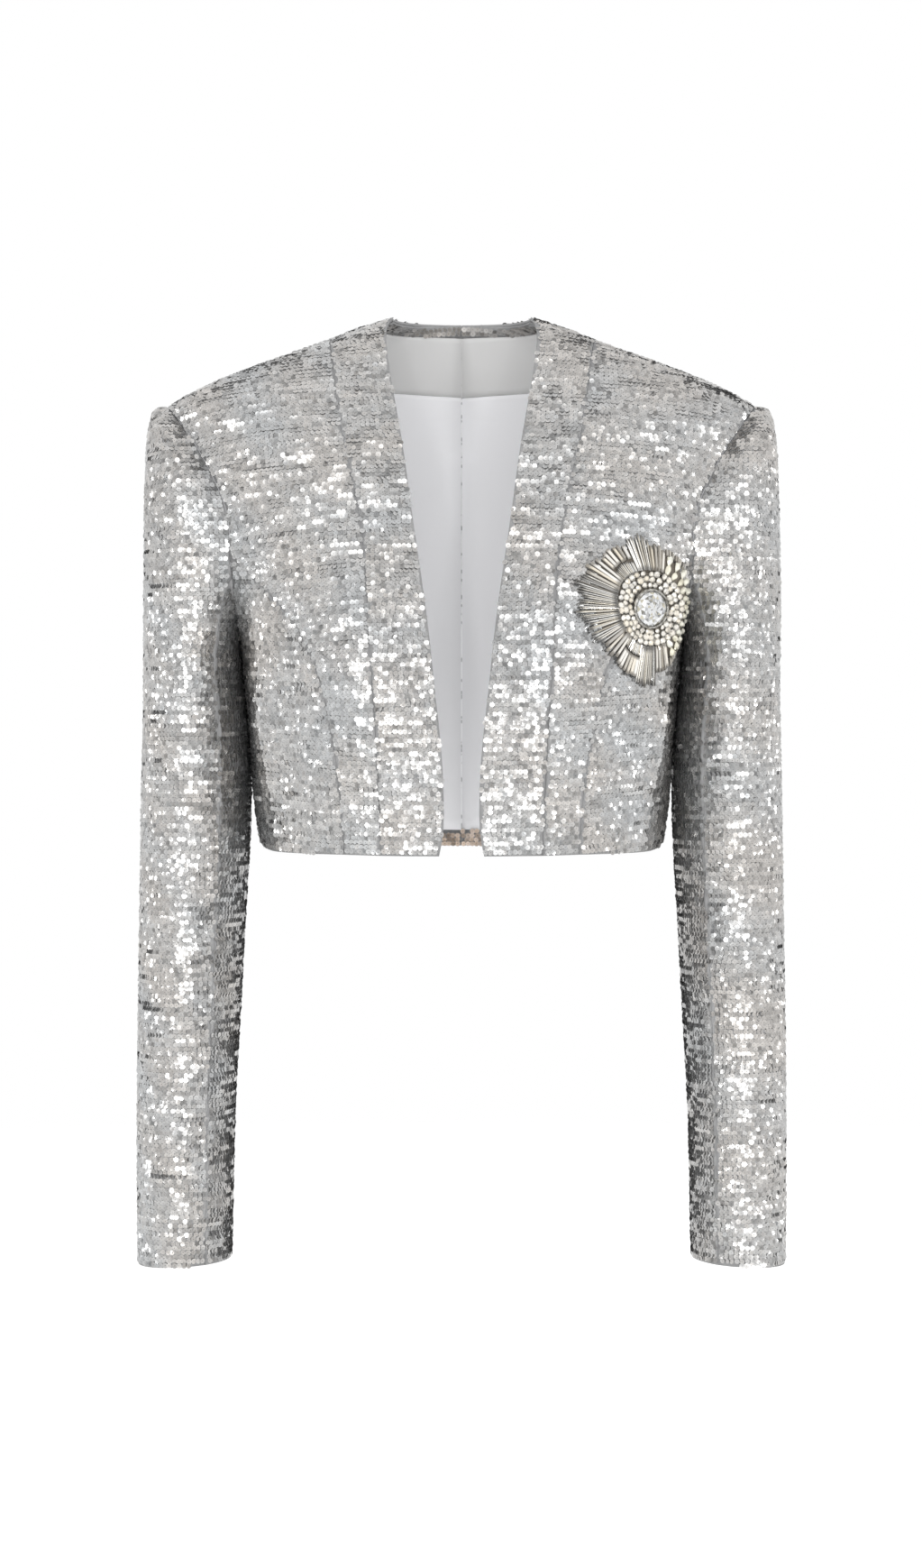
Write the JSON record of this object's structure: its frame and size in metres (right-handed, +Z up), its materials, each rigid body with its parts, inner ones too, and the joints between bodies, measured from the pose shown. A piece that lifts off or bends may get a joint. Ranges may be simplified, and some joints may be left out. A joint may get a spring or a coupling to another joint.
{
  "type": "sequinned cropped blazer",
  "caption": "Collarless open-front cropped blazer in silver sequinned cloth, filled out as if worn, with square shoulders, long two-piece sleeves and a sunburst of stones on one side of the chest.",
  "frame": {"origin": "midway between the two neck points, on the line of the shoulder seams, where the shoulders of a wearer hold the garment up", "axes": "+X towards the wearer's left sleeve, -Y towards the open front, +Z up"},
  "size_m": [0.465, 0.2195, 0.677],
  "materials": {
    "sequin_cloth": "cloth covered with glossy silver sequins",
    "lining_cloth": "smooth grey satin",
    "stones": "cut glass, clear to champagne",
    "setting": "polished silver tone"
  },
  "bodies": {
    "root": {"front_band_left": "sequin_cloth", "front_band_right": "sequin_cloth", "front_middle_left": "sequin_cloth", "front_middle_right": "sequin_cloth", "front_side_left": "sequin_cloth", "front_side_right": "sequin_cloth", "back_left": "sequin_cloth", "back_right": "sequin_cloth", "sleeve_upper_left": "sequin_cloth", "sleeve_upper_right": "sequin_cloth", "sleeve_under_left": "sequin_cloth", "sleeve_under_right": "sequin_cloth", "back_neck_strip_left": "sequin_cloth", "back_neck_strip_right": "sequin_cloth", "back_facing_left": "lining_cloth", "back_facing_right": "lining_cloth", "back_lining_left": "lining_cloth", "back_lining_right": "lining_cloth", "back_hem_strip_left": "sequin_cloth", "back_hem_strip_right": "sequin_cloth", "sunburst_rays": "stones", "sunburst_halo": "stones", "sunburst_bezel": "setting", "sunburst_stone": "stones"}
  },
  "joints": []
}
